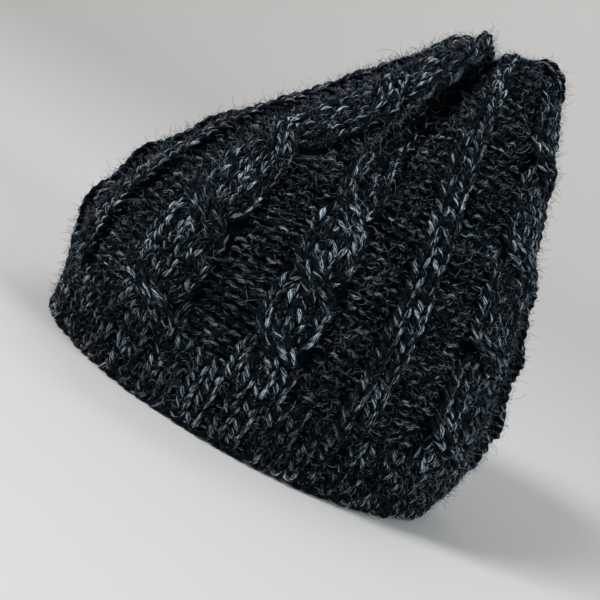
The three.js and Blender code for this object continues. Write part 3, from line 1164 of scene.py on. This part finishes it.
crown_counts = (SHORT_ON_HALF, CURLY_ON_HALF)
crown_fluff_back = grow("crown_fluff_back", back_parts, crown_counts, (3.2 * MM, 6.0 * MM))
crown_fluff_front = grow("crown_fluff_front", front_parts, crown_counts, (3.2 * MM, 6.0 * MM))
brim_fluff = grow("brim_fluff", brim_parts, (SHORT_ON_BRIM, CURLY_ON_BRIM), (2.6 * MM, 5.0 * MM))
print("in all:", sum(triangles.values()), "triangles")

# %% [markdown]
# ## Floor, light and camera
#
# The hat stands on a pale studio floor that curves up far away, so no edge shows behind it. A key light from
# the front and above models the ropes, a cooler fill from the back keeps that side from going black, and a
# large third light is turned to the floor behind the hat. A pale surround lifts the shadows a little. The
# camera looks at the left side from a little above the rim, and is turned about its own axis as the real
# one was.

# %% Floor
FLOOR_FLAT = 1.6
FLOOR_RADIUS = 4.5
FLOOR_RISE = 3.2
FLOOR_START = 0.4
FLOOR_SIDES = 64
STEEPEST = 0.99


def studio_floor():
    """A round floor whose far part curves up on all sides."""
    flat = np.linspace(FLOOR_START, FLOOR_FLAT, 5)
    radii = np.concatenate((flat, np.linspace(FLOOR_FLAT, FLOOR_RADIUS, 16)[1:]))
    share = smooth((radii - FLOOR_FLAT) / (FLOOR_RADIUS - FLOOR_FLAT))
    heights = FLOOR_RISE * (1 - np.sqrt(1 - share * STEEPEST))
    count = FLOOR_SIDES
    turns = np.linspace(0, 2 * math.pi, count, endpoint=False)
    points = [(0, 0, 0)]
    for radius, height in zip(radii, heights):
        points += [(radius * math.cos(turn), radius * math.sin(turn), height) for turn in turns]
    faces = [(0, 1 + n, 1 + (n + 1) % count) for n in range(count)]
    for r in range(len(radii) - 1):
        low = 1 + r * count
        high = low + count
        for n in range(count):
            beside = (n + 1) % count
            faces.append((low + n, high + n, high + beside, low + beside))
    mesh = bpy.data.meshes.new("studio_floor")
    mesh.from_pydata(points, [], faces)
    mesh.shade_smooth()
    material = bpy.data.materials.new("pale_floor")
    material.use_nodes = True
    shader = material.node_tree.nodes["Principled BSDF"]
    shader.inputs["Base Color"].default_value = (0.47, 0.458, 0.445, 1)
    shader.inputs["Roughness"].default_value = 0.9
    mesh.materials.append(material)
    floor = bpy.data.objects.new("studio_floor", mesh)
    bpy.context.scene.collection.objects.link(floor)


studio_floor()
print("the floor curves up", FLOOR_FLAT, "m from the hat")

# %% Light
HAT_MIDDLE = (0, 0, 0.1)
FAR_FLOOR = (-4.2, 1.2, 1.4)
NEUTRAL_WHITE = (0.97, 0.98, 1.0)
COOL_WHITE = (0.86, 0.95, 1.0)
GREENISH_WHITE = (0.97, 1.0, 0.99)
SURROUND = (0.95, 0.97, 1.0)
SURROUND_STRENGTH = 0.44


def area_light(name, place, target, size, power, colour):
    """A round light of a size in metres and a power in watts, turned towards its target."""
    light = bpy.data.lights.new(name, "AREA")
    light.shape = "DISK"
    light.size = size
    light.energy = power
    light.color = colour
    lamp = bpy.data.objects.new(name, light)
    lamp.location = place
    lamp.rotation_euler = (Vector(target) - Vector(place)).to_track_quat("-Z", "Y").to_euler()
    bpy.context.scene.collection.objects.link(lamp)


area_light("key", (0.75, -0.95, 1.15), HAT_MIDDLE, 0.5, 28, NEUTRAL_WHITE)
area_light("fill", (0.9, 1.2, 0.7), HAT_MIDDLE, 0.7, 17, COOL_WHITE)
area_light("backdrop", (-1.2, 0.8, 3.4), FAR_FLOOR, 3.0, 88, GREENISH_WHITE)
world = bpy.data.worlds.new("surround")
world.use_nodes = True
world.node_tree.nodes["Background"].inputs["Color"].default_value = (*SURROUND, 1)
world.node_tree.nodes["Background"].inputs["Strength"].default_value = SURROUND_STRENGTH
bpy.context.scene.world = world
bpy.context.scene.view_settings.view_transform = "Standard"
print("lights:", sorted(lamp.name for lamp in bpy.data.lights))

# %% Camera
AIM = Vector((0, -0.00075, 0.057))
DISTANCE = 0.58
ELEVATION = math.radians(10)
ROLL = math.radians(29.9)
LENS = 75
SENSOR = 36
NEAREST = 0.01


def place_camera():
    """A camera that looks at the left side and is turned about its own axis."""
    back = Vector((math.cos(ELEVATION), 0, math.sin(ELEVATION)))
    right = Vector((0, 1, 0))
    up = back.cross(right)
    image_right = right * math.cos(ROLL) + up * math.sin(ROLL)
    image_up = up * math.cos(ROLL) - right * math.sin(ROLL)
    turn = Matrix((image_right, image_up, back)).transposed().to_4x4()
    data = bpy.data.cameras.new("camera")
    data.lens = LENS
    data.sensor_width = SENSOR
    data.clip_start = NEAREST
    camera = bpy.data.objects.new("camera", data)
    camera.matrix_world = Matrix.Translation(AIM + back * DISTANCE) @ turn
    bpy.context.scene.collection.objects.link(camera)
    bpy.context.scene.camera = camera


place_camera()
print("the camera stands", DISTANCE, "m from its aim")

# %% [markdown]
# ## Hand the pieces over
#
# The knitted pieces stand for the two solids, so each of them rides on the hat's one body, and the solid that
# it stands for is hidden.

# %% Ride and replace
crown_pieces = (crown_narrow_ropes, crown_wide_ropes, crown_ribs, crown_rope_cores, crown_ground_back,
                crown_ground_front, crown_wall, crown_fluff_back, crown_fluff_front)
brim_pieces = (brim_ribbing, cast_on_edge, brim_wall, brim_fluff)
for pieces, node, slot in ((crown_pieces, "crown", "cabled_yarn"), (brim_pieces, "brim_band", "ribbed_yarn")):
    for piece in pieces:
        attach(piece, "root")
        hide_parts(node)
